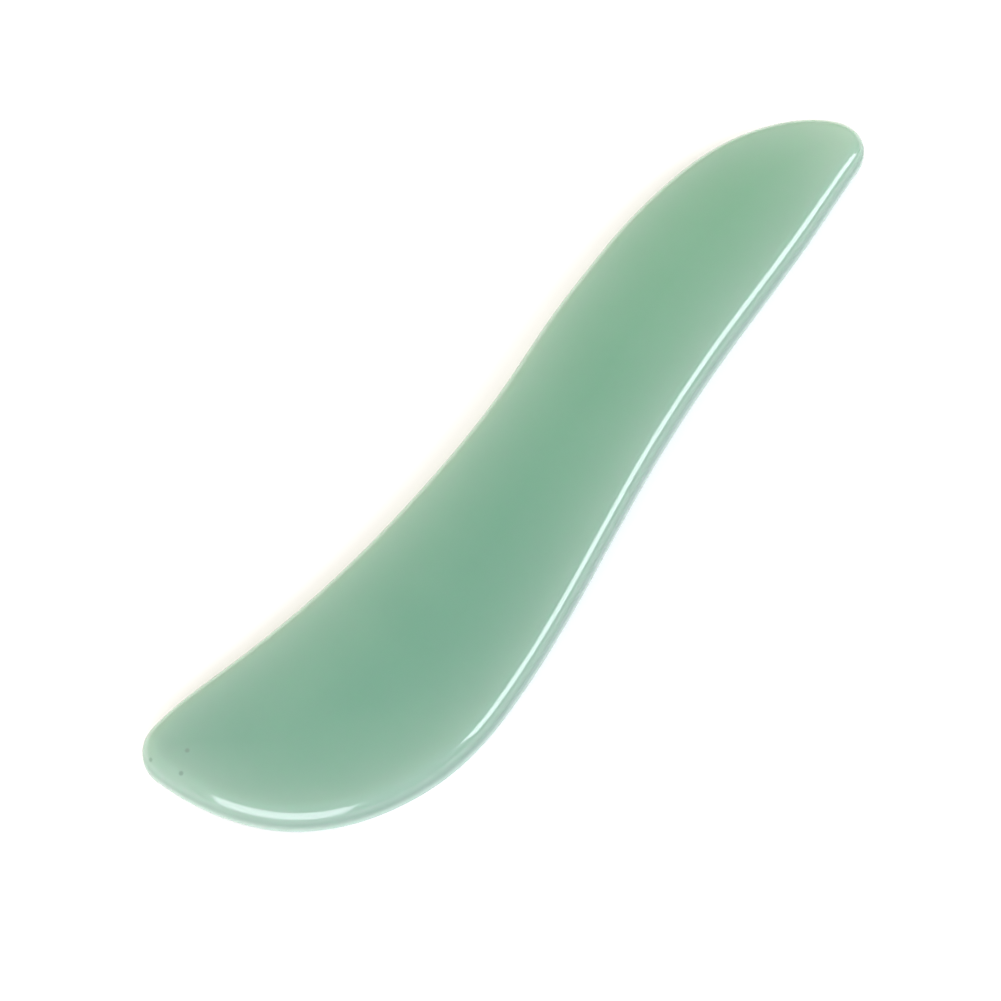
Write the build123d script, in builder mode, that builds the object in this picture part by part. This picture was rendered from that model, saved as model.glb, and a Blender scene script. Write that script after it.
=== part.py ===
from build123d import *
import os

# Gua sha board: one S-shaped board cut and polished from a single slab of stone.
# Millimetres. X runs along the board, from the broad paddle end (-X) to the beak end
# (+X), Y across it and Z up through its thickness. It lies on its flat back, on Z = 0.

# ---- driving sizes --------------------------------------------------------
LENGTH = 150.0            # over the whole S, tip to tip
WIDTH = 37.0              # over the whole S, from one outer side to the other
THICKNESS = 7.0           # at the highest point of the crown
RIM_HEIGHT = 5.5          # height of the crown where it meets the edge, at mid-length
TIP_THINNING = 1.2        # how much thinner the board is at both tips
TIP_RADIUS = 5.0          # rounding of both tips, seen from above
BACK_RADIUS = 95.0        # the flattest stretch of the beak's back
BELLY_RADIUS = 45.0       # the flattest stretch of the paddle's belly
FACE_EDGE_RADIUS = 2.8    # rubbed edge of the crowned face
EDGE_BAND = 0.4           # straight band left between the two rubbed edges at the tips
BACK_EDGE_RADIUS = RIM_HEIGHT - TIP_THINNING - FACE_EDGE_RADIUS - EDGE_BAND

# How far the slab and the crown's block run past the board, so that only their
# meeting faces shape it.
CUTTING_MARGIN = 6.0

# ---- outline --------------------------------------------------------------
half_length = LENGTH / 2
half_width = WIDTH / 2

# Four arcs touch the box of LENGTH x WIDTH: (centre, radius, start angle, swept angle),
# taken clockwise.
PADDLE_TIP = ((-half_length + TIP_RADIUS, half_width - TIP_RADIUS), TIP_RADIUS, 180, -90)
BEAK_BACK = ((0.53 * half_length, half_width - BACK_RADIUS), BACK_RADIUS, 95, -9)
BEAK_TIP = ((half_length - TIP_RADIUS, 0.12 * half_width), TIP_RADIUS, 20, -104)
PADDLE_BELLY = ((-0.555 * half_length, -half_width + BELLY_RADIUS), BELLY_RADIUS, -86, -10)

# Smooth curves join them, through points given as (share of half the length, share of
# half the width).
HOLLOW_SIDE = [(-0.76, 0.895), (-0.53, 0.752), (-0.27, 0.708), (0.05, 0.790), (0.22, 0.900)]
BEAK_CURVE = [(0.76, 0.905), (0.90, 0.655)]
UNDERSIDE = [(0.72, -0.260), (0.40, -0.380), (0.08, -0.565), (-0.26, -0.850)]
PADDLE_CURVE = [(-0.78, -0.795), (-0.92, -0.345)]

# ---- crown ----------------------------------------------------------------
# Stations along the board: (share of half the length, middle of the board there and
# half of its width there as shares of half the width, share of the crown's full rise).
CROWN_STATIONS = [
    (-1.04, 0.54, 0.45, 0.05),
    (-0.86, 0.21, 0.78, 0.55),
    (-0.55, -0.13, 0.88, 0.97),
    (-0.10, 0.03, 0.73, 1.00),
    (0.35, 0.28, 0.68, 0.90),
    (0.75, 0.33, 0.60, 0.65),
    (1.04, 0.10, 0.45, 0.05),
]
full_rise = THICKNESS - RIM_HEIGHT

# ---- the board ------------------------------------------------------------
with BuildPart() as stone_board:
    with BuildSketch(Plane.XY):
        with BuildLine():
            tip = CenterArc(*PADDLE_TIP)
            back = CenterArc(*BEAK_BACK)
            beak = CenterArc(*BEAK_TIP)
            belly = CenterArc(*PADDLE_BELLY)
            for start, shares, end in (
                (tip, HOLLOW_SIDE, back),
                (back, BEAK_CURVE, beak),
                (beak, UNDERSIDE, belly),
                (belly, PADDLE_CURVE, tip),
            ):
                between = [(x * half_length, y * half_width) for x, y in shares]
                Spline(
                    start @ 1,
                    *between,
                    end @ 0,
                    tangents=[start % 1, end % 0],
                    tangent_scalars=[1, 1],
                )
        make_face()
    extrude(amount=THICKNESS + CUTTING_MARGIN)

    # A crowned block, lofted through arched sections, trims the slab's top.
    for x_share, middle_share, reach_share, rise_share in CROWN_STATIONS:
        middle = middle_share * half_width
        reach = reach_share * half_width
        side = reach + CUTTING_MARGIN
        rise = full_rise * rise_share
        apex = RIM_HEIGHT - TIP_THINNING * x_share**2 + rise
        shoulder = apex - rise * (side / reach) ** 2
        with BuildSketch(Plane.YZ.offset(x_share * half_length)):
            with BuildLine():
                ThreePointArc((middle - side, shoulder), (middle, apex), (middle + side, shoulder))
                Polyline(
                    (middle + side, shoulder),
                    (middle + side, -CUTTING_MARGIN),
                    (middle - side, -CUTTING_MARGIN),
                    (middle - side, shoulder),
                )
            make_face()
    loft(mode=Mode.INTERSECT)

    # Both edges are rubbed round, the crowned face's more than the back's.
    fillet(stone_board.faces().sort_by(Axis.Z)[-1].edges(), radius=FACE_EDGE_RADIUS)
    fillet(stone_board.faces().sort_by(Axis.Z)[0].edges(), radius=BACK_EDGE_RADIUS)

stone_board.part.label = "stone_board"

os.makedirs("parts", exist_ok=True)
export_step(stone_board.part, "parts/stone_board.step")
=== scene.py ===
"""A gua sha board of polished green stone, on a pale floor under soft studio light."""

import sys

import logging
import math
from collections.abc import Callable
from dataclasses import dataclass, field
from enum import Enum

import bmesh
import bpy
import numpy as np
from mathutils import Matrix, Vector
from mathutils.kdtree import KDTree


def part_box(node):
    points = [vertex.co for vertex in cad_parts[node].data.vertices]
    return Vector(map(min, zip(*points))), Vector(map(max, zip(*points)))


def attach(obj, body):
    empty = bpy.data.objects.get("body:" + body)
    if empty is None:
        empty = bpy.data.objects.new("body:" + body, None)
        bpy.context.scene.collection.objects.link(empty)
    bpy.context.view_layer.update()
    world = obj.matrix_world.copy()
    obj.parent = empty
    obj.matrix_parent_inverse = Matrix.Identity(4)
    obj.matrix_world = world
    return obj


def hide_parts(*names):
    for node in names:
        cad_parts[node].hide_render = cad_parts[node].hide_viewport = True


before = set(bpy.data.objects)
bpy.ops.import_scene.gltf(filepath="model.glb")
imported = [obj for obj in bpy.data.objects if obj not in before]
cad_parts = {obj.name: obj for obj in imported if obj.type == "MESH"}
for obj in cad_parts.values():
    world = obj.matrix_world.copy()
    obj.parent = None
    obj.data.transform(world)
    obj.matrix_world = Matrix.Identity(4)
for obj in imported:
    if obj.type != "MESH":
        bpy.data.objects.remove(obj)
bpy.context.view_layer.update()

BODY = "root"
CAD_NODE = "stone_board"
DEPTH_MARK = "rim_depth"
MM = 0.001  # metres in a millimetre
SAME_CORNER = 1e-3 * MM  # how close two corners of the CAD mesh are when they are one
SAME_LEVEL = 1e-4 * MM  # how close in height the points of one modelled ring are

Colour = tuple[float, float, float]
Place = tuple[float, float, float]

log = logging.getLogger("gua_sha_board")


# ---- small tools ---------------------------------------------------------------------


def select_nothing() -> None:
    """Leave edit mode and deselect every object."""
    if bpy.context.object and bpy.context.object.mode != "OBJECT":
        bpy.ops.object.mode_set(mode="OBJECT")
    bpy.ops.object.select_all(action="DESELECT")


def select_only(piece: bpy.types.Object) -> None:
    """Make one object the selected and active one.

    Args:
        piece: The object.
    """
    select_nothing()
    piece.select_set(True)
    bpy.context.view_layer.objects.active = piece


def select_edges(
    piece: bpy.types.Object, chosen: Callable[[bmesh.types.BMEdge], bool]
) -> None:
    """Select the edges of a piece in edit mode by a test.

    Args:
        piece: The object being edited.
        chosen: Says whether an edge is wanted.
    """
    bpy.ops.mesh.select_mode(type="EDGE")
    bpy.ops.mesh.select_all(action="DESELECT")
    mesh = bmesh.from_edit_mesh(piece.data)
    for edge in mesh.edges:
        if chosen(edge):
            edge.select_set(True)
    mesh.select_flush(True)
    bmesh.update_edit_mesh(piece.data)


def apply_modifier(piece: bpy.types.Object, kind: str, **settings: object) -> None:
    """Add a modifier, set it up and apply it.

    Args:
        piece: The object it works on.
        kind: Blender's name for the modifier.
        **settings: The modifier's properties.
    """
    select_only(piece)
    modifier = piece.modifiers.new(kind.lower(), kind)
    for name, value in settings.items():
        setattr(modifier, name, value)
    bpy.ops.object.modifier_apply(modifier=modifier.name)


def socket_by_identifier(
    sockets: bpy.types.bpy_prop_collection, identifier: str
) -> bpy.types.NodeSocket:
    """Find a socket of a node whose sockets share their names.

    Args:
        sockets: The node's inputs or outputs.
        identifier: Blender's own name for the one that is wanted.

    Returns:
        The socket.
    """
    return next(socket for socket in sockets if socket.identifier == identifier)


# ---- the outline and the crown, read from the frame -----------------------------------


@dataclass
class ClosedCurve:
    """A smooth closed curve in plan through given points.

    Args:
        points: Points in order round the curve, one row each, in metres.
        samples: How many points it is divided into for measuring.
    """

    points: np.ndarray
    samples: int = 6000
    line: np.ndarray = field(init=False)
    lengths: np.ndarray = field(init=False)

    def __post_init__(self) -> None:
        """Work out the curve's line and its length at each sample."""
        self.line = self._divided()
        steps = np.linalg.norm(np.diff(self.line, axis=0), axis=1)
        self.lengths = np.concatenate([[0.0], np.cumsum(steps)])

    def _slopes(self, spans: np.ndarray) -> np.ndarray:
        """Slopes at the points that make the curve's bend continuous.

        Args:
            spans: The distance from each point to the next.

        Returns:
            One row of x and y for each point.
        """
        count = len(self.points)
        chords = (np.roll(self.points, -1, axis=0) - self.points) / spans[:, None]
        before, after = np.roll(spans, 1), spans
        matrix = np.zeros((count, count))
        rows = np.arange(count)
        matrix[rows, rows] = 2 * (before + after)
        matrix[rows, (rows - 1) % count] = after
        matrix[rows, (rows + 1) % count] = before
        right = 3 * (after[:, None] * np.roll(chords, 1, axis=0) + before[:, None] * chords)
        return np.linalg.solve(matrix, right)

    def _divided(self) -> np.ndarray:
        """Divide the curve finely.

        Returns:
            One row of x and y for each point, the first one repeated at the end.
        """
        following = np.roll(self.points, -1, axis=0)
        spans = np.linalg.norm(following - self.points, axis=1)
        slopes = self._slopes(spans)
        starts = np.concatenate([[0.0], np.cumsum(spans)])
        places = np.linspace(0.0, starts[-1], self.samples + 1)
        span = np.searchsorted(starts, places, side="right") - 1
        span = np.clip(span, 0, len(spans) - 1)
        t = ((places - starts[span]) / spans[span])[:, None]
        width = spans[span][:, None]
        return (
            (2 * t**3 - 3 * t**2 + 1) * self.points[span]
            + (t**3 - 2 * t**2 + t) * width * slopes[span]
            + (3 * t**2 - 2 * t**3) * following[span]
            + (t**3 - t**2) * width * np.roll(slopes, -1, axis=0)[span]
        )

    def cage(self, count: int) -> np.ndarray:
        """Points a little outside the curve's bends, so that smoothing ends on it.

        Args:
            count: How many points, at even distances.

        Returns:
            One row of x and y for each point, from the curve's start.
        """
        places = np.linspace(0.0, self.lengths[-1], count, endpoint=False)
        axes = [np.interp(places, self.lengths, axis) for axis in self.line.T]
        even = np.stack(axes, axis=1)
        own = np.eye(count)
        smoothed = (4 * own + np.roll(own, 1, axis=0) + np.roll(own, -1, axis=0)) / 6
        return np.linalg.solve(smoothed, even)

    def inward(self) -> np.ndarray:
        """Directions that point into the shape.

        Returns:
            One row of x and y for each sample.
        """
        ahead = np.roll(self.line[:-1], -1, axis=0) - np.roll(self.line[:-1], 1, axis=0)
        ahead = np.concatenate([ahead, ahead[:1]])
        ahead /= np.linalg.norm(ahead, axis=1)[:, None]
        x, y = self.line.T
        left_turning = np.sum(x[:-1] * np.diff(y) - y[:-1] * np.diff(x)) > 0
        return np.stack([-ahead[:, 1], ahead[:, 0]], axis=1) * (1 if left_turning else -1)

    def nearest(self) -> Callable[[Vector], tuple[int, float]]:
        """A finder of the curve's nearest sample.

        Returns:
            A function from a place to that sample's number and its distance in plan.
        """
        tree = KDTree(len(self.line))
        for index, (x, y) in enumerate(self.line):
            tree.insert((x, y, 0.0), index)
        tree.balance()
        return lambda place: tree.find((place.x, place.y, 0.0))[1:]


def ring_at_height(node: bpy.types.Object, height: float, start: Vector) -> np.ndarray:
    """The plan points of a CAD node's closed edge at one height.

    Args:
        node: The CAD node, which is only read.
        height: The edge's height.
        start: The ring starts at the point nearest to this one.

    Returns:
        One row of x and y for each point, clockwise from above.
    """
    mesh = bmesh.new()
    mesh.from_mesh(node.data)
    bmesh.ops.remove_doubles(mesh, verts=mesh.verts, dist=SAME_CORNER)
    level = {vert for vert in mesh.verts if abs(vert.co.z - height) < SAME_CORNER}
    here = min(level, key=lambda vert: (vert.co.xy - start).length)
    ring: list[bmesh.types.BMVert] = []
    while here is not None:
        ring.append(here)
        beside = [edge.other_vert(here) for edge in here.link_edges]
        ahead = [vert for vert in beside if vert in level and vert not in ring]
        if len(ring) == 1:
            here = max(ahead, key=lambda vert: vert.co.y)
        else:
            here = ahead[0] if ahead else None
    points = np.array([vert.co.xy for vert in ring])
    mesh.free()
    return points


@dataclass
class Crown:
    """The crowned face as one smooth height field: level-topped arches, side by side.

    Args:
        points: Points of the crowned face, one row each.
        reach: Half of the board's length.
        along: The highest power of the place along the board.
        across: The highest power of the place across it.
    """

    points: np.ndarray
    reach: float
    along: int = 8
    across: int = 2
    weights: np.ndarray = field(init=False)

    def __post_init__(self) -> None:
        """Fit the height field to the points."""
        terms = self._terms(self.points)
        self.weights = np.linalg.lstsq(terms, self.points[:, 2], rcond=None)[0]
        misses = np.abs(terms @ self.weights - self.points[:, 2])
        log.info("crown: %d points, %.3f mm at most", len(misses), misses.max() / MM)

    def _terms(self, places: np.ndarray) -> np.ndarray:
        """The powers of place that make up the height field.

        Args:
            places: One row for each place, x and y first.

        Returns:
            One row of powers for each place.
        """
        u, v = places[:, 0] / self.reach, places[:, 1] / self.reach
        powers = [(i, j) for j in range(self.across + 1) for i in range(self.along + 1)]
        return np.stack([u**i * v**j for i, j in powers], axis=1)

    def heights(self, places: np.ndarray) -> np.ndarray:
        """Heights of the crowned face over places in plan.

        Args:
            places: One row for each place, x and y first.

        Returns:
            One height for each place.
        """
        return self._terms(places) @ self.weights


# ---- the board -----------------------------------------------------------------------


class Face(Enum):
    """The board's two broad faces, by the way that each one looks."""

    CROWNED = 1
    FLAT_BACK = -1


@dataclass
class StoneBoard:
    """The scraper itself: an S-shaped board with a crowned face and rubbed edges.

    Args:
        node: The CAD node that it stands for.
        name: The finished piece's name.
        back_radius: Rounding of the flat back's edge.
        band: Straight band between the two roundings.
        face_radius: Rounding of the crowned face's edge.
        round_steps: How many strips each rounding is worked in.
        inner_strip: Width of the last strip before the faces are filled in.
        sides: How many edges go round the outline before smoothing.
        end_span: How many of them each end takes when a face is filled in.
        smoothing: Levels of subdivision.
        crown_share: Share of the face's rounding past which its points are the crown's.
    """

    node: bpy.types.Object
    name: str = "polished_board"
    back_radius: float = 1.1 * MM
    band: float = 0.4 * MM
    face_radius: float = 2.8 * MM
    round_steps: int = 6
    inner_strip: float = 0.9 * MM
    sides: int = 192
    end_span: int = 6
    smoothing: int = 2
    crown_share: float = 0.8
    piece: bpy.types.Object = field(init=False)
    outline: ClosedCurve = field(init=False)
    nearest: Callable[[Vector], tuple[int, float]] = field(init=False)
    band_top: float = field(init=False)
    crown: Crown = field(init=False)

    def __post_init__(self) -> None:
        """Read the outline and the crown from the frame."""
        low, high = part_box(CAD_NODE)
        paddle_corner = Vector((low.x, high.y))
        ring = ring_at_height(self.node, self.back_radius, paddle_corner)
        self.outline = ClosedCurve(ring)
        self.nearest = self.outline.nearest()
        self.band_top = self.back_radius + self.band
        margin = self.crown_share * self.face_radius
        face = [
            tuple(vert.co)
            for vert in self.node.data.vertices
            if vert.co.z > self.band_top and self.nearest(vert.co)[1] > margin
        ]
        self.crown = Crown(np.array(face), (high.x - low.x) / 2)

    def build(self) -> bpy.types.Object:
        """Model the board.

        Returns:
            The finished piece, without its finish.
        """
        self._set_out()
        self._raise_band()
        self._close_face(Face.CROWNED, self.band_top, self.face_radius)
        self._close_face(Face.FLAT_BACK, self.back_radius, self.back_radius)
        bpy.ops.mesh.select_all(action="SELECT")
        bpy.ops.mesh.normals_make_consistent(inside=False)
        bpy.ops.object.mode_set(mode="OBJECT")
        self._shape_crown()
        levels = self.smoothing
        apply_modifier(self.piece, "SUBSURF", levels=levels, render_levels=levels)
        self._settle_crown()
        bpy.ops.object.shade_smooth()
        self._mark_depth()
        log.info("%s: %d faces", self.name, len(self.piece.data.polygons))
        return self.piece

    def dress(self, stone: "PolishedStone") -> None:
        """Give the board its finish.

        Args:
            stone: The finish.
        """
        self.piece.data.materials.append(stone.material())
        log.info("%s: finished in polished stone", self.name)

    def _set_out(self) -> None:
        """Start from a ring and lay it on the outline at the foot of the band."""
        select_nothing()
        half_length = self.outline.line.max()
        bpy.ops.mesh.primitive_circle_add(vertices=self.sides, radius=half_length)
        self.piece = bpy.context.object
        self.piece.name = self.name
        for vert, (x, y) in zip(self.piece.data.vertices, self.outline.cage(self.sides)):
            vert.co = (x, y, self.back_radius)
        bpy.ops.object.mode_set(mode="EDIT")

    def _raise_band(self) -> None:
        """Draw the ring up into the straight band."""
        bpy.ops.mesh.select_all(action="SELECT")
        lift = {"value": (0.0, 0.0, self.band)}
        bpy.ops.mesh.extrude_edges_move(TRANSFORM_OT_translate=lift)

    def _select_open_edge(self, level: float) -> None:
        """Select the open edges that lie at one height.

        Args:
            level: The height.
        """
        select_edges(
            self.piece,
            lambda edge: edge.is_boundary
            and all(abs(vert.co.z - level) < SAME_LEVEL for vert in edge.verts),
        )

    def _close_face(self, side: Face, level: float, radius: float) -> None:
        """Round one edge with inset strips, then fill the face inside them.

        Args:
            side: Which of the two faces it is.
            level: Height of the ring that the rounding starts from.
            radius: The rounding's radius.
        """
        self._select_open_edge(level)
        bpy.ops.mesh.edge_face_add()
        bpy.ops.mesh.select_mode(type="FACE")
        mesh = bmesh.from_edit_mesh(self.piece.data)
        face = next(face for face in mesh.faces if face.select)
        if face.normal.z * side.value < 0:
            bpy.ops.mesh.flip_normals()
        step = math.radians(90) / self.round_steps
        turns = [k * step for k in range(self.round_steps + 1)]
        for low, high in zip(turns, turns[1:]):
            bpy.ops.mesh.inset(
                thickness=radius * (math.cos(low) - math.cos(high)),
                depth=radius * (math.sin(high) - math.sin(low)),
            )
        bpy.ops.mesh.inset(thickness=self.inner_strip, depth=0.0)
        self._fill_inside()

    def _fill_inside(self) -> None:
        """Swap the selected face for a grid of four-sided faces."""
        mesh = bmesh.from_edit_mesh(self.piece.data)
        face = next(face for face in mesh.faces if face.select)
        corner = min(face.verts, key=lambda vert: vert.co.x)
        bpy.ops.mesh.delete(type="ONLY_FACE")
        self._select_open_edge(corner.co.z)
        mesh = bmesh.from_edit_mesh(self.piece.data)
        mesh.select_history.clear()
        mesh.select_history.add(corner)
        bpy.ops.mesh.fill_grid(span=self.end_span, use_interp_simple=True)

    def _shape_crown(self) -> None:
        """Bring the upper face to the crown, and its rounded edge to meet it smoothly."""
        radius = self.face_radius
        rim = self.outline.line
        inner = rim + radius * self.outline.inward()
        slopes = (self.crown.heights(inner) - self.crown.heights(rim)) / radius
        lengths = np.hypot(1.0, slopes)
        verts = self.piece.data.vertices
        crowns = self.crown.heights(np.array([vert.co for vert in verts]))
        for vert, crown in zip(verts, crowns):
            rise = vert.co.z - self.band_top
            if rise < -self.band / 2:
                continue
            rise = min(max(rise, 0.0), radius)
            depth = radius - math.sqrt(radius**2 - rise**2)
            sample, _ = self.nearest(vert.co)
            slope, length = slopes[sample], lengths[sample]
            tangent_depth = radius * (1 - slope / length)
            drop = radius * (length - slope) + slope * depth - rise
            vert.co.z = crown - (drop if depth < tangent_depth else 0.0)

    def _settle_crown(self) -> None:
        """Bring the smoothed middle of the upper face onto the crown again."""
        verts = self.piece.data.vertices
        crowns = self.crown.heights(np.array([vert.co for vert in verts]))
        blend = 2 * self.inner_strip
        for vert, crown in zip(verts, crowns):
            inside = self.nearest(vert.co)[1] - self.face_radius
            if vert.co.z > self.band_top and inside > 0.0:
                share = min(inside / blend, 1.0)
                vert.co.z += (crown - vert.co.z) * share * share * (3 - 2 * share)

    def _mark_depth(self) -> None:
        """Store each point's depth inside the outline, in millimetres, for the stone."""
        mark = self.piece.data.attributes.new(DEPTH_MARK, "FLOAT", "POINT")
        values = [self.nearest(vert.co)[1] / MM for vert in self.piece.data.vertices]
        mark.data.foreach_set("value", values)


# ---- the stone's finish ----------------------------------------------------------------


class NodeGroup:
    """A shader node group with named inputs and outputs, and short ways to fill it."""

    def __init__(self, name: str, inputs: dict[str, float | None], output: str) -> None:
        """Make the group.

        Args:
            name: The group's name.
            inputs: Each input's name and starting value, or None for a vector.
            output: The name of its one output.
        """
        self.tree = bpy.data.node_groups.new(name, "ShaderNodeTree")
        sockets = self.tree.interface
        for label, value in inputs.items():
            kind = "NodeSocketVector" if value is None else "NodeSocketFloat"
            socket = sockets.new_socket(label, in_out="INPUT", socket_type=kind)
            if value is not None:
                socket.default_value = value
        sockets.new_socket(output, in_out="OUTPUT", socket_type="NodeSocketFloat")
        self.inputs = self.tree.nodes.new("NodeGroupInput").outputs
        self.output = self.tree.nodes.new("NodeGroupOutput").inputs[0]

    def link(self, source: bpy.types.NodeSocket, target: bpy.types.NodeSocket) -> None:
        """Join two sockets.

        Args:
            source: The output that the value comes from.
            target: The input that it goes to.
        """
        self.tree.links.new(source, target)

    def math(
        self, operation: str, *values: bpy.types.NodeSocket | float
    ) -> bpy.types.NodeSocket:
        """Add a Math node.

        Args:
            operation: Blender's name for the sum.
            *values: A socket or a number for each of its inputs.

        Returns:
            The node's output.
        """
        node = self.tree.nodes.new("ShaderNodeMath")
        node.operation = operation
        for socket, value in zip(node.inputs, values):
            if isinstance(value, (int, float)):
                socket.default_value = value
            else:
                self.link(value, socket)
        return node.outputs[0]

    def noise(
        self,
        vector: bpy.types.NodeSocket,
        scale: bpy.types.NodeSocket | float,
        detail: float,
    ) -> bpy.types.NodeSocket:
        """Add a Noise Texture.

        Args:
            vector: Where it is looked up.
            scale: How fine it is.
            detail: How many finer layers it has.

        Returns:
            The node's factor.
        """
        node = self.tree.nodes.new("ShaderNodeTexNoise")
        node.inputs["Detail"].default_value = detail
        self.link(vector, node.inputs["Vector"])
        if isinstance(scale, float):
            node.inputs["Scale"].default_value = scale
        else:
            self.link(scale, node.inputs["Scale"])
        return node.outputs["Fac"]

    def ramp(
        self, value: bpy.types.NodeSocket, low: float, high: float
    ) -> bpy.types.NodeSocket:
        """Add a smooth step from 0 to 1.

        Args:
            value: What it follows.
            low: The value where the step starts.
            high: The value where it ends.

        Returns:
            The node's result.
        """
        node = self.tree.nodes.new("ShaderNodeMapRange")
        node.interpolation_type = "SMOOTHSTEP"
        node.inputs["From Min"].default_value = low
        node.inputs["From Max"].default_value = high
        self.link(value, node.inputs["Value"])
        return node.outputs["Result"]

    def fading(
        self, distance: bpy.types.NodeSocket, reach: bpy.types.NodeSocket
    ) -> bpy.types.NodeSocket:
        """Fade from 1 towards 0 with distance.

        Args:
            distance: How far away the surface is.
            reach: How far the fading goes before about a third is left.

        Returns:
            The faded value.
        """
        ratio = self.math("DIVIDE", distance, reach)
        return self.math("EXPONENT", self.math("MULTIPLY", ratio, -1.0))

    def gap(
        self, here: bpy.types.NodeSocket, there: bpy.types.NodeSocket
    ) -> bpy.types.NodeSocket:
        """Measure the distance between two places.

        Args:
            here: One place.
            there: The other.

        Returns:
            The distance.
        """
        node = self.tree.nodes.new("ShaderNodeVectorMath")
        node.operation = "DISTANCE"
        self.link(here, node.inputs[0])
        self.link(there, node.inputs[1])
        return node.outputs["Value"]

    def along(self, vector: bpy.types.NodeSocket, axis: str) -> bpy.types.NodeSocket:
        """Take one axis of a vector.

        Args:
            vector: The vector.
            axis: X, Y or Z.

        Returns:
            Its length along that axis.
        """
        node = self.tree.nodes.new("ShaderNodeSeparateXYZ")
        self.link(vector, node.inputs["Vector"])
        return node.outputs[axis]


def rim_glow_group() -> bpy.types.NodeTree:
    """Painted glow of light through thin stone: a mask that fades inwards from the rim.

    Returns:
        The node group.
    """
    group = NodeGroup("rim_painted_glow", {"Depth": 0.0, "Reach": 3.0}, "Mask")
    group.link(group.fading(group.inputs["Depth"], group.inputs["Reach"]), group.output)
    return group.tree


def clouding_group() -> bpy.types.NodeTree:
    """Milky clouds inside the stone, as a mask.

    Returns:
        The node group.
    """
    values = {"Vector": None, "Scale": 40.0, "Amount": 0.3}
    group = NodeGroup("stone_clouding", values, "Mask")
    cloud = group.noise(group.inputs["Vector"], group.inputs["Scale"], detail=2.0)
    patches = group.ramp(cloud, low=0.35, high=0.75)
    group.link(group.math("MULTIPLY", patches, group.inputs["Amount"]), group.output)
    return group.tree


def drift_group() -> bpy.types.NodeTree:
    """A slow change of colour from the paddle end to the beak end, as a mask.

    Returns:
        The node group.
    """
    values = {"Vector": None, "Length": 0.15, "Unevenness": 0.3}
    group = NodeGroup("colour_drift", values, "Mask")
    place = group.inputs["Vector"]
    share = group.math("DIVIDE", group.along(place, "X"), group.inputs["Length"])
    swing = group.math("SUBTRACT", group.noise(place, scale=30.0, detail=1.0), 0.5)
    uneven = group.math("MULTIPLY", swing, group.inputs["Unevenness"])
    drifted = group.ramp(group.math("ADD", share, uneven), low=-0.4, high=0.4)
    group.link(drifted, group.output)
    return group.tree


def tip_glow_group() -> bpy.types.NodeTree:
    """Painted glow of light through a thinned tip: a mask that fades away from the tip's
    place.

    Returns:
        The node group.
    """
    values = {"Vector": None, "Tip": None, "Reach": 9.0 * MM, "Amount": 1.0}
    group = NodeGroup("tip_painted_glow", values, "Mask")
    gap = group.gap(group.inputs["Vector"], group.inputs["Tip"])
    fading = group.fading(gap, group.inputs["Reach"])
    group.link(group.math("MULTIPLY", fading, group.inputs["Amount"]), group.output)
    return group.tree


def shoulder_shade_group() -> bpy.types.NodeTree:
    """Painted shade on the band under the face's shoulder, fading downwards, as a mask.

    Returns:
        The node group.
    """
    values = {
        "Vector": None,
        "Depth": 0.0,
        "Reach": 0.6,
        "Foot": 1.0 * MM,
        "Top": 3.0 * MM,
    }
    group = NodeGroup("shoulder_painted_shade", values, "Mask")
    level = group.along(group.inputs["Vector"], "Z")
    rise = group.math("SUBTRACT", level, group.inputs["Foot"])
    height = group.math("SUBTRACT", group.inputs["Top"], group.inputs["Foot"])
    share = group.ramp(group.math("DIVIDE", rise, height), low=0.0, high=1.0)
    fading = group.fading(group.inputs["Depth"], group.inputs["Reach"])
    group.link(group.math("MULTIPLY", fading, share), group.output)
    return group.tree


def speck_group() -> bpy.types.NodeTree:
    """One small dark inclusion, as a mask round its place.

    Returns:
        The node group.
    """
    values = {"Vector": None, "Place": None, "Size": 0.45 * MM}
    group = NodeGroup("dark_inclusion", values, "Mask")
    gap = group.gap(group.inputs["Vector"], group.inputs["Place"])
    ratio = group.math("DIVIDE", gap, group.inputs["Size"])
    outside = group.ramp(ratio, low=0.35, high=1.0)
    group.link(group.math("SUBTRACT", 1.0, outside), group.output)
    return group.tree


def haze_group() -> bpy.types.NodeTree:
    """Uneven polish, as a roughness between two values.

    Returns:
        The node group.
    """
    values = {"Vector": None, "Low": 0.08, "High": 0.14}
    group = NodeGroup("polish_haze", values, "Roughness")
    cloud = group.noise(group.inputs["Vector"], scale=160.0, detail=3.0)
    spread = group.math("SUBTRACT", group.inputs["High"], group.inputs["Low"])
    share = group.math("MULTIPLY", group.ramp(cloud, low=0.3, high=0.7), spread)
    group.link(group.math("ADD", group.inputs["Low"], share), group.output)
    return group.tree


def waves_group() -> bpy.types.NodeTree:
    """The slight waves that polishing by hand leaves, as a height from 0 to 1.

    Returns:
        The node group.
    """
    group = NodeGroup("hand_polish_waves", {"Vector": None, "Scale": 170.0}, "Height")
    waves = group.noise(group.inputs["Vector"], group.inputs["Scale"], detail=1.0)
    group.link(waves, group.output)
    return group.tree


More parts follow.
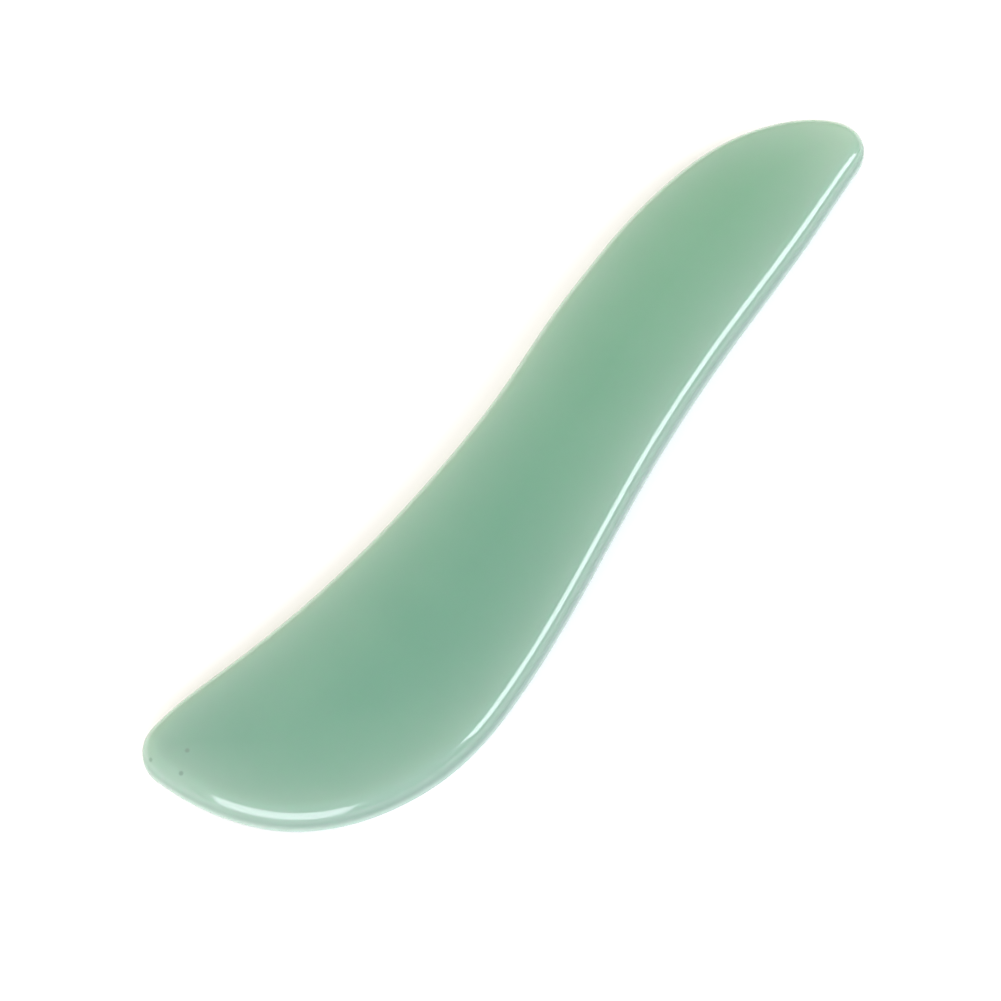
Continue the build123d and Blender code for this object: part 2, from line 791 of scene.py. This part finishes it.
@dataclass(frozen=True)
class PolishedStone:
    """Hand-polished, slightly translucent green stone, paler where it is thin by a painted
    glow of light, with painted shade under its shoulder.

    Args:
        deep: Colour of the thick middle at the paddle end.
        fresh: Colour of the thick middle at the beak end.
        milky: Colour of the clouds inside the stone.
        beak_glow_colour: Painted glow of light through the beak's thin tip.
        paddle_glow_colour: Painted glow of light through the paddle's thin tip.
        pale: Painted glow of light through the thin rim.
        shoulder_shade: Painted shade on the band under the crowned face's shoulder.
        dark: Colour of the small inclusions.
        index: The stone's index of refraction.
        scatter_weight: Share of the light that goes inside the stone.
        scatter: How far light goes inside the stone, in metres.
        scatter_shares: Shares of that distance for red, green and blue light.
        cloud_scale: How closely the clouds follow one another.
        glow_reach: How far inwards the rim's painted glow goes, in millimetres.
        beak_tip: Where the beak's tip is.
        beak_reach: How far its painted glow goes, in metres.
        paddle_tip: Where the paddle's tip is.
        paddle_reach: How far its painted glow goes, in metres.
        paddle_amount: How much of that painted glow there is.
        glossiest: Roughness where the polish is best.
        haziest: Roughness where it is worst.
        wave_height: Height of the waves that the polishing leaves, in metres.
        specks: Where the inclusions are.
    """

    deep: Colour = (0.138, 0.298, 0.212)
    fresh: Colour = (0.157, 0.332, 0.212)
    milky: Colour = (0.188, 0.355, 0.250)
    # The next four colours are painted light: glow through the thin tips and rim, then
    # shade under the shoulder.
    beak_glow_colour: Colour = (0.37, 0.50, 0.39)
    paddle_glow_colour: Colour = (0.36, 0.43, 0.39)
    pale: Colour = (0.308, 0.427, 0.346)
    shoulder_shade: Colour = (0.146, 0.240, 0.186)
    dark: Colour = (0.19, 0.28, 0.23)
    index: float = 1.65
    scatter_weight: float = 1.0
    scatter: float = 2.5 * MM
    scatter_shares: Colour = (0.6, 1.0, 0.75)
    cloud_scale: float = 45.0
    glow_reach: float = 4.8
    beak_tip: Place = (0.0750, 0.0020, 0.0040)
    beak_reach: float = 9.0 * MM
    paddle_tip: Place = (-0.0750, 0.0135, 0.0040)
    paddle_reach: float = 11.0 * MM
    paddle_amount: float = 0.22
    glossiest: float = 0.075
    haziest: float = 0.13
    wave_height: float = 0.02 * MM
    specks: tuple[Place, ...] = (
        (-0.0739, 0.0149, 0.0039),
        (-0.0700, 0.0115, 0.0049),
        (-0.0730, 0.0100, 0.0046),
    )

    def material(self) -> bpy.types.Material:
        """Build the stone's material.

        Returns:
            The finished material.
        """
        material = bpy.data.materials.new("polished_green_stone")
        material.use_nodes = True
        tree = material.node_tree
        shader = tree.nodes["Principled BSDF"]
        shader.inputs["IOR"].default_value = self.index
        shader.inputs["Subsurface Weight"].default_value = self.scatter_weight
        shader.inputs["Subsurface Radius"].default_value = self.scatter_shares
        shader.inputs["Subsurface Scale"].default_value = self.scatter
        place = tree.nodes.new("ShaderNodeTexCoord").outputs["Object"]
        depth = tree.nodes.new("ShaderNodeAttribute")
        depth.attribute_name = DEPTH_MARK
        rim_depth = depth.outputs["Fac"]
        tree.links.new(self._colour(tree, place, rim_depth), shader.inputs["Base Color"])
        haze_values = {"Vector": place, "Low": self.glossiest, "High": self.haziest}
        haze = self._placed(tree, haze_group(), haze_values)
        tree.links.new(haze, shader.inputs["Roughness"])
        bump = tree.nodes.new("ShaderNodeBump")
        bump.inputs["Distance"].default_value = self.wave_height
        waves = self._placed(tree, waves_group(), {"Vector": place})
        tree.links.new(waves, bump.inputs["Height"])
        tree.links.new(bump.outputs["Normal"], shader.inputs["Normal"])
        return material

    def _colour(
        self,
        tree: bpy.types.NodeTree,
        place: bpy.types.NodeSocket,
        rim_depth: bpy.types.NodeSocket,
    ) -> bpy.types.NodeSocket:
        """Lay the stone's colours, its painted glow and its painted shade over one another.

        Args:
            tree: The material's nodes.
            place: Object coordinates.
            rim_depth: Each point's depth inside the outline, in millimetres.

        Returns:
            The stone's colour.
        """
        drift = self._placed(tree, drift_group(), {"Vector": place})
        cloud_values = {"Vector": place, "Scale": self.cloud_scale}
        clouds = self._placed(tree, clouding_group(), cloud_values)
        tip = tip_glow_group()
        beak_values = {"Vector": place, "Tip": self.beak_tip, "Reach": self.beak_reach}
        beak = self._placed(tree, tip, beak_values)
        paddle_values = {
            "Vector": place,
            "Tip": self.paddle_tip,
            "Reach": self.paddle_reach,
            "Amount": self.paddle_amount,
        }
        paddle = self._placed(tree, tip, paddle_values)
        glow_values = {"Depth": rim_depth, "Reach": self.glow_reach}
        rim_glow = self._placed(tree, rim_glow_group(), glow_values)
        shade_values = {"Vector": place, "Depth": rim_depth}
        shoulder_shade = self._placed(tree, shoulder_shade_group(), shade_values)
        colour = self._mixed(tree, drift, self.deep, self.fresh)
        colour = self._mixed(tree, clouds, colour, self.milky)
        # Painted glow of light through the thin rim.
        colour = self._mixed(tree, rim_glow, colour, self.pale)
        # Painted glow of light through the thin tips.
        colour = self._mixed(tree, beak, colour, self.beak_glow_colour)
        colour = self._mixed(tree, paddle, colour, self.paddle_glow_colour)
        speck = speck_group()
        for spot in self.specks:
            mask = self._placed(tree, speck, {"Vector": place, "Place": spot})
            colour = self._mixed(tree, mask, colour, self.dark)
        # Painted shade on the band under the crowned face's shoulder.
        return self._mixed(tree, shoulder_shade, colour, self.shoulder_shade)

    @staticmethod
    def _placed(
        tree: bpy.types.NodeTree, group: bpy.types.NodeTree, values: dict[str, object]
    ) -> bpy.types.NodeSocket:
        """Place a node group in the material.

        Args:
            tree: The material's nodes.
            group: The group.
            values: A socket, number or vector for each named input.

        Returns:
            The group's output.
        """
        node = tree.nodes.new("ShaderNodeGroup")
        node.node_tree = group
        for label, value in values.items():
            if isinstance(value, bpy.types.NodeSocket):
                tree.links.new(value, node.inputs[label])
            else:
                node.inputs[label].default_value = value
        return node.outputs[0]

    @staticmethod
    def _mixed(
        tree: bpy.types.NodeTree,
        mask: bpy.types.NodeSocket,
        below: bpy.types.NodeSocket | Colour,
        above: Colour,
    ) -> bpy.types.NodeSocket:
        """Lay one colour over another by a mask.

        Args:
            tree: The material's nodes.
            mask: Where the upper colour shows.
            below: The lower colour, or the socket it comes from.
            above: The upper colour.

        Returns:
            The mixed colour.
        """
        node = tree.nodes.new("ShaderNodeMix")
        node.data_type = "RGBA"
        lower = socket_by_identifier(node.inputs, "A_Color")
        upper = socket_by_identifier(node.inputs, "B_Color")
        tree.links.new(mask, socket_by_identifier(node.inputs, "Factor_Float"))
        if isinstance(below, bpy.types.NodeSocket):
            tree.links.new(below, lower)
        else:
            lower.default_value = (*below, 1.0)
        upper.default_value = (*above, 1.0)
        return socket_by_identifier(node.outputs, "Result_Color")


# ---- the studio ------------------------------------------------------------------------


def direction(azimuth: float, elevation: float) -> Vector:
    """The direction of a place round the board.

    Args:
        azimuth: Its angle from +X, in degrees.
        elevation: Its angle above the floor, in degrees.

    Returns:
        A vector of length 1.
    """
    turn, rise = math.radians(azimuth), math.radians(elevation)
    level = math.cos(rise)
    return Vector((math.cos(turn) * level, math.sin(turn) * level, math.sin(rise)))


class Tint(Enum):
    """The colours of the softboxes' light."""

    COOL = (0.98, 1.03, 1.10)
    ROSY = (1.0, 0.97, 1.09)
    WARM = (1.0, 0.885, 0.80)
    YELLOWISH = (1.0, 0.96, 0.79)


class Use(Enum):
    """What a softbox is for."""

    HIGHLIGHT = "seen in the polish"
    FILL = "lights the stone only"


@dataclass(frozen=True)
class Softbox:
    """A rectangular soft light that faces the board.

    Args:
        name: Its name.
        azimuth: Where it stands round the board, in degrees from +X.
        elevation: How high its middle is, in degrees.
        width: Its width.
        height: Its height.
        power: Its power in watts.
        tint: The light's colour.
        distance: How far away it is.
        use: Whether the polish shows it.
    """

    name: str
    azimuth: float
    elevation: float
    width: float
    height: float
    power: float
    tint: Tint
    distance: float
    use: Use

    def place(self) -> None:
        """Hang the light."""
        data = bpy.data.lights.new(self.name, "AREA")
        data.shape = "RECTANGLE"
        data.size, data.size_y = self.width, self.height
        data.energy = self.power
        data.color = self.tint.value
        light = bpy.data.objects.new(self.name, data)
        bpy.context.scene.collection.objects.link(light)
        away = direction(self.azimuth, self.elevation)
        light.location = away * self.distance
        light.rotation_mode = "QUATERNION"
        light.rotation_quaternion = away.to_track_quat("Z", "Y")
        light.visible_glossy = self.use is Use.HIGHLIGHT
        log.info("%s: hung, %s", self.name, self.use.value)


@dataclass(frozen=True)
class Studio:
    """The camera, the floor and the lights round the board.

    Args:
        lens: The camera's focal length, in millimetres.
        sensor: Width of the camera's sensor, in millimetres.
        near_limit: The nearest that the camera sees.
        distance: How far the camera is from its aim.
        azimuth: Where the camera stands round the board, in degrees from +X.
        elevation: How high it is, in degrees.
        aim: What it looks at.
        floor_side: Length of the square floor's side.
        floor_colour: The floor's colour.
        floor_roughness: The floor's roughness.
        dome_colour: Colour of the light from all round.
        dome: Its strength.
        backdrop: Brightness of the white above the floor's far edge.
        softboxes: The lights.
    """

    lens: float = 105.0
    sensor: float = 36.0
    near_limit: float = 0.01
    distance: float = 0.4207
    azimuth: float = -141.53
    elevation: float = 60.0
    aim: Place = (-11.8 * MM, 3.02 * MM, 3.5 * MM)
    floor_side: float = 3.4
    floor_colour: Colour = (0.9, 0.9, 0.9)
    floor_roughness: float = 0.9
    dome_colour: Colour = (1.0, 1.0, 1.0)
    dome: float = 0.30
    backdrop: float = 1.0
    softboxes: tuple[Softbox, ...] = (
        Softbox(
            name="side_softbox",
            azimuth=-57.2,
            elevation=27.0,
            width=1.23,
            height=0.80,
            power=20.5,
            tint=Tint.COOL,
            distance=1.8,
            use=Use.HIGHLIGHT,
        ),
        Softbox(
            name="front_softbox",
            azimuth=-153.0,
            elevation=24.0,
            width=1.82,
            height=1.31,
            power=38.5,
            tint=Tint.ROSY,
            distance=1.8,
            use=Use.HIGHLIGHT,
        ),
        Softbox(
            name="side_fill",
            azimuth=-50.0,
            elevation=34.0,
            width=1.20,
            height=0.90,
            power=4.5,
            tint=Tint.COOL,
            distance=1.3,
            use=Use.FILL,
        ),
        Softbox(
            name="back_fill",
            azimuth=128.0,
            elevation=22.0,
            width=1.60,
            height=0.90,
            power=20.0,
            tint=Tint.WARM,
            distance=1.3,
            use=Use.FILL,
        ),
        Softbox(
            name="far_fill",
            azimuth=45.0,
            elevation=24.0,
            width=1.40,
            height=0.90,
            power=12.0,
            tint=Tint.YELLOWISH,
            distance=1.3,
            use=Use.FILL,
        ),
    )

    def place_camera(self) -> None:
        """Make the scene's camera."""
        data = bpy.data.cameras.new("camera")
        data.lens = self.lens
        data.sensor_width = self.sensor
        data.clip_start = self.near_limit
        camera = bpy.data.objects.new("camera", data)
        bpy.context.scene.collection.objects.link(camera)
        back = direction(self.azimuth, self.elevation)
        camera.location = Vector(self.aim) + back * self.distance
        camera.rotation_mode = "QUATERNION"
        camera.rotation_quaternion = back.to_track_quat("Z", "Y")
        bpy.context.scene.camera = camera
        log.info("camera: placed")

    def lay_floor(self) -> None:
        """Make a wide pale floor."""
        select_nothing()
        bpy.ops.mesh.primitive_plane_add(size=self.floor_side)
        floor = bpy.context.object
        floor.name = "floor"
        material = bpy.data.materials.new("pale_floor")
        material.use_nodes = True
        shader = material.node_tree.nodes["Principled BSDF"]
        shader.inputs["Base Color"].default_value = (*self.floor_colour, 1.0)
        shader.inputs["Roughness"].default_value = self.floor_roughness
        floor.data.materials.append(material)
        log.info("floor: laid")

    def light(self) -> None:
        """Hang the softboxes under a dim white dome."""
        world = bpy.data.worlds.new("studio")
        bpy.context.scene.world = world
        world.use_nodes = True
        nodes, links = world.node_tree.nodes, world.node_tree.links
        background = nodes["Background"]
        background.inputs["Color"].default_value = (*self.dome_colour, 1.0)
        path = nodes.new("ShaderNodeLightPath")
        strength = nodes.new("ShaderNodeMix")
        strength.inputs["A"].default_value = self.dome
        strength.inputs["B"].default_value = self.backdrop
        links.new(path.outputs["Is Camera Ray"], strength.inputs["Factor"])
        links.new(strength.outputs["Result"], background.inputs["Strength"])
        bpy.context.scene.view_settings.view_transform = "Standard"
        for softbox in self.softboxes:
            softbox.place()


# ---- main ----------------------------------------------------------------------------


def main() -> None:
    """Build the board and the studio, and report each piece."""
    logging.basicConfig(
        level=logging.INFO, format="%(name)s: %(message)s", stream=sys.stdout
    )
    board = StoneBoard(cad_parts[CAD_NODE])
    piece = board.build()
    board.dress(PolishedStone())
    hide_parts(CAD_NODE)
    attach(piece, BODY)
    studio = Studio()
    studio.place_camera()
    studio.lay_floor()
    studio.light()


if __name__ == "__main__":
    main()
